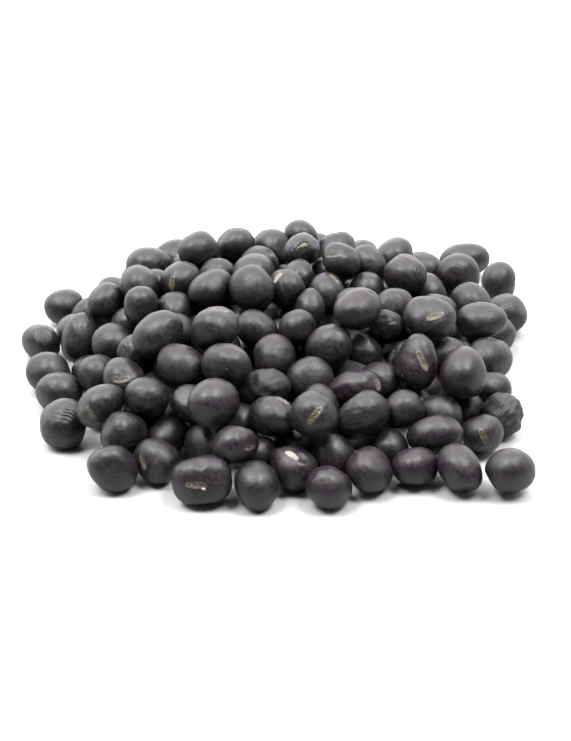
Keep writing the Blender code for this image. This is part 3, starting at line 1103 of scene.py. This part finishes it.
# The skin: black where it is whole, grey where it is worn, with an olive or purple cast
NEAR_BLACK = (0.0014, 0.0011, 0.0015, 1.0)
WORN_BLACK = (0.020, 0.0168, 0.0195, 1.0)
OLIVE_BLACK = (0.0066, 0.0072, 0.0042, 1.0)
PURPLE_BLACK = (0.0096, 0.0052, 0.0106, 1.0)
CAST_SHARE = 0.4
CAST_CLOUDS = 0.8
WORN_LEAST = 0.05
WORN_TONE = 0.25
WORN_CLOUDS = 1.6
WORN_MOTTLES = 3.2
WORN_DULL = 0.3
SKIN_SHINE = 0.4
ROUGHNESS = 0.42
DULL_ROUGHNESS = 0.15
MOTTLE_ROUGHNESS = 0.4
SCAR_ROUGHNESS = 0.1
RELIEF_STRENGTH = 0.6
RELIEF_HEIGHT = 0.00012
MOTTLE_RELIEF = 0.6
GRAIN_RELIEF = 0.4
SCAR_RELIEF = 1.5

# The scar's colours, and the parts of it, each as an edge or a middle and how steep it goes from there
SCAR_OLIVE = (0.025, 0.024, 0.0155, 1.0)
SCAR_TAN = (0.105, 0.095, 0.063, 1.0)
SCAR_PALE = (0.23, 0.22, 0.19, 1.0)
SCAR_BROWN = (0.04, 0.0155, 0.01, 1.0)
RIM_TAN = (0.21, 0.195, 0.135, 1.0)
SCAR_SHARE = 0.92
RAGGED_EDGE = 0.35
FRONT_SIDE = (0.0, 2.0)
INSIDE = (1.02, 9.0)
WELL_INSIDE = (0.85, 8.0)
RIM_LINE = (1.0, 8.0)
RIM_GRAINS = (0.4, 5.0)
RIM_CLOUDS = (0.36, 6.0)
INNER_LINE = (0.6, 9.0)
INNER_MOTTLES = (0.42, 8.0)
INNER_SHARE = 0.55
STREAK_LINE = (0.0, 8.0)
STREAK_WANDER = 1.1
STREAK_GRAINS = (0.38, 7.0)
STREAK_LEAST = 0.1
STREAK_PALE = 1.2
BED_MOTTLES = 2.6
BED_LEAST = -0.9
BED_PALE = 0.8
BROWN_SCARS = (0.18, 9.0)
BLEACHED_FROM = 0.75
BLEACHED_STEEP = 4.0
BLEACHED_MOTTLES = (0.1 / 2.2, 2.2)


def scar_colour(skin, along, across, pale, cloud, mottle, grain):
    """Where the scar is, where its rim is, and the colour of its bed."""
    round_ends = abs(along / (SCAR_LENGTH / 2)) ** SCAR_ENDS + abs(across / (SCAR_WIDTH / 2)) ** SCAR_ENDS
    out = round_ends ** (1 / SCAR_ENDS) + (mottle - 0.5) * RAGGED_EDGE
    well_inside = out.below(*WELL_INSIDE)
    rim = out.near(*RIM_LINE) * (grain.above(*RIM_GRAINS) * cloud.above(*RIM_CLOUDS))
    inner_line = out.near(*INNER_LINE) * mottle.above(*INNER_MOTTLES)
    wander = across + (cloud - 0.5) * STREAK_WANDER
    streak = wander.near(*STREAK_LINE) * well_inside * grain.above(*STREAK_GRAINS)
    bleached = (pale - BLEACHED_FROM) * BLEACHED_STEEP * mottle.above(*BLEACHED_MOTTLES)
    tan = (mottle * BED_MOTTLES + BED_LEAST + (pale - 0.5) * BED_PALE).clamped()
    bed = skin.mix(tan, SCAR_OLIVE, SCAR_TAN)
    bed = skin.mix(pale.below(*BROWN_SCARS) * well_inside, bed, SCAR_BROWN)
    bed = skin.mix((inner_line * INNER_SHARE).clamped(), bed, RIM_TAN)
    bed = skin.mix((streak * (pale * STREAK_PALE + STREAK_LEAST) + bleached).clamped(), bed, SCAR_PALE)
    return out.below(*INSIDE), rim, bed


def bean_skin():
    """Dry near-black skin with a faint purple or olive cast, fine mottling, and the scar of the pod."""
    material, skin = new_material("bean_skin")
    along, across, height = skin.parts("ShaderNodeSeparateXYZ", skin.attribute("skin_place", "Vector"), "XYZ")
    traits = skin.attribute("bean_traits", "Color")
    tone, tint, dull = skin.parts("ShaderNodeSeparateColor", traits, ("Red", "Green", "Blue"))
    pale = skin.attribute("bean_traits", "Alpha")
    spot = skin.place()
    cloud = skin.noise(spot, *CLOUDS)
    mottle = skin.noise(spot, *MOTTLES)
    grain = skin.noise(spot, *GRAINS)

    spots = (cloud - 0.5) * WORN_CLOUDS + (mottle - 0.5) * WORN_MOTTLES
    worn = (tone * WORN_TONE + spots + WORN_LEAST + dull * WORN_DULL).clamped()
    black = skin.mix(worn, NEAR_BLACK, WORN_BLACK)
    cast = skin.mix((tint + (cloud - 0.5) * CAST_CLOUDS).clamped(), OLIVE_BLACK, PURPLE_BLACK)
    plain = skin.mix(CAST_SHARE, black, cast)

    front = height.above(*FRONT_SIDE)
    inside, rim, bed = scar_colour(skin, along, across, pale, cloud, mottle, grain)
    inside = inside * front
    scarred = skin.mix(inside * SCAR_SHARE, plain, bed)
    skin.set("Base Color", skin.mix(rim * front, scarred, RIM_TAN))

    rough = ROUGHNESS + dull * DULL_ROUGHNESS + (mottle - 0.5) * MOTTLE_ROUGHNESS
    skin.set("Roughness", (rough + inside * SCAR_ROUGHNESS).clamped())
    relief = mottle * MOTTLE_RELIEF + grain * GRAIN_RELIEF + inside * mottle * SCAR_RELIEF
    inputs = {"Strength": RELIEF_STRENGTH, "Distance": RELIEF_HEIGHT, "Height": relief}
    skin.set("Normal", skin.node("ShaderNodeBump", {}, inputs))
    skin.set("Specular IOR Level", SKIN_SHINE)
    return material


# Plain finishes: spots for each metre, their detail, the colours in and between them, and from how rough to
# how much rougher
GREEN_KERNEL = (1300.0, 3.0, (0.042, 0.053, 0.014, 1.0), (0.105, 0.115, 0.042, 1.0), 0.5, 0.2)
PALE_CHAFF = (4000.0, 2.0, (0.21, 0.195, 0.155, 1.0), (0.42, 0.405, 0.365, 1.0), 0.6, 0.2)
DEEP_SKIN = (600.0, 3.0, (0.004, 0.004, 0.0045, 1.0), (0.01, 0.0095, 0.0105, 1.0), 0.6, 0.2)
WHITE_FLOOR = (30.0, 2.0, (0.325, 0.325, 0.325, 1.0), (0.34, 0.34, 0.34, 1.0), 0.6, 0.1)


def spotted(name, scale, detail, dark, light, rough, rougher):
    """A plain finish with soft spots: of the kernel, the chaff, the skins deep in the heap or the floor."""
    material, finish = new_material(name)
    spots = finish.noise(finish.place(), scale, detail)
    finish.set("Base Color", finish.mix(spots, dark, light))
    finish.set("Roughness", rough + spots * rougher)
    return material


def make_floor():
    """A square of plain floor that reaches well past the picture."""
    half = FLOOR_SIZE / 2
    mesh = bpy.data.meshes.new("floor")
    corners = [(-half, -half, 0), (half, -half, 0), (half, half, 0), (-half, half, 0)]
    mesh.from_pydata(corners, [], [(0, 1, 2, 3)])
    mesh.materials.append(spotted("floor_white", *WHITE_FLOOR))
    floor = bpy.data.objects.new("floor", mesh)
    bpy.context.scene.collection.objects.link(floor)


def make_camera(shift):
    """Stands where the layout takes its eye to be, and looks a little above the heap's foot."""
    lens = bpy.data.cameras.new("camera")
    lens.sensor_fit = "VERTICAL"
    lens.sensor_height = SENSOR_HEIGHT
    lens.lens = PIXELS_PER_MM * EYE_AWAY * SENSOR_HEIGHT / PICTURE_HEIGHT
    camera = bpy.data.objects.new("camera", lens)
    eye = Vector((EYE[0] - shift[0], EYE[1] - shift[1], EYE[2])) * METRES
    aim = Vector((-shift[0], AIM_UP * EYE_RISE - shift[1], AIM_UP * EYE_RUN)) * METRES
    camera.location = eye
    camera.rotation_euler = (aim - eye).to_track_quat("-Z", "Y").to_euler()
    bpy.context.scene.collection.objects.link(camera)
    bpy.context.scene.camera = camera


def make_lamps():
    """Two soft lamps nearly straight above, side by side."""
    for side in (-1, 1):
        light = bpy.data.lights.new("soft_lamp", "AREA")
        light.shape = "DISK"
        light.size = LAMP_SIZE
        light.energy = LAMP_POWER
        lamp = bpy.data.objects.new("soft_lamp", light)
        lamp.location = (side * LAMP_APART, -LAMP_FORWARD, LAMP_HEIGHT)
        lamp.rotation_euler = (-lamp.location).to_track_quat("-Z", "Y").to_euler()
        bpy.context.scene.collection.objects.link(lamp)


def make_room():
    """A white room, brightest above and behind, dark towards the camera, and dim to the right."""
    world = bpy.data.worlds.new("white_room")
    bpy.context.scene.world = world
    room = Finish(world, "Background")
    way = room.place("Generated")
    above = room.fade(room.towards(way, unit((0.0, TOP_BACK, 1.0))), *TOP_EDGES)
    in_front = room.fade(room.towards(way, (0.0, -EYE_RUN, EYE_RISE)), *FRONT_EDGES)
    right = room.fade(room.towards(way, (1.0, 0.0, 0.0)), *RIGHT_EDGES)
    room.set("Color", ROOM_COLOUR)
    light = (SIDE_LIGHT + above * (TOP_LIGHT - SIDE_LIGHT)) * (1 - in_front * FRONT_DARK)
    room.set("Strength", light * (1 - right * RIGHT_DARK))
    bpy.context.scene.view_settings.view_transform = "Standard"


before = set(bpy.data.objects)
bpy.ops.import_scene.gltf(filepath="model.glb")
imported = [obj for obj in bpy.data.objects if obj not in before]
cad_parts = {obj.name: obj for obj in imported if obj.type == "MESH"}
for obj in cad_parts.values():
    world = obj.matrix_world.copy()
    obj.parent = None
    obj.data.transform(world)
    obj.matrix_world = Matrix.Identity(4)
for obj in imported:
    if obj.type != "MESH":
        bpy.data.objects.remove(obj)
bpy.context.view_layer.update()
beans, shift = pour()
view = View(beans, shift)
looks = dress(beans, view)
make_camera(shift)
skin = bean_skin()
make_beans(beans, looks, skin)
for bean in beans:
    if looks[id(bean)].kind == "split":
        make_split_bean(bean, looks[id(bean)], skin, spotted("green_kernel", *GREEN_KERNEL))
make_specks(view, spotted("pale_chaff", *PALE_CHAFF))
make_core(beans, spotted("deep_bean_skin", *DEEP_SKIN))
make_floor()
make_lamps()
make_room()
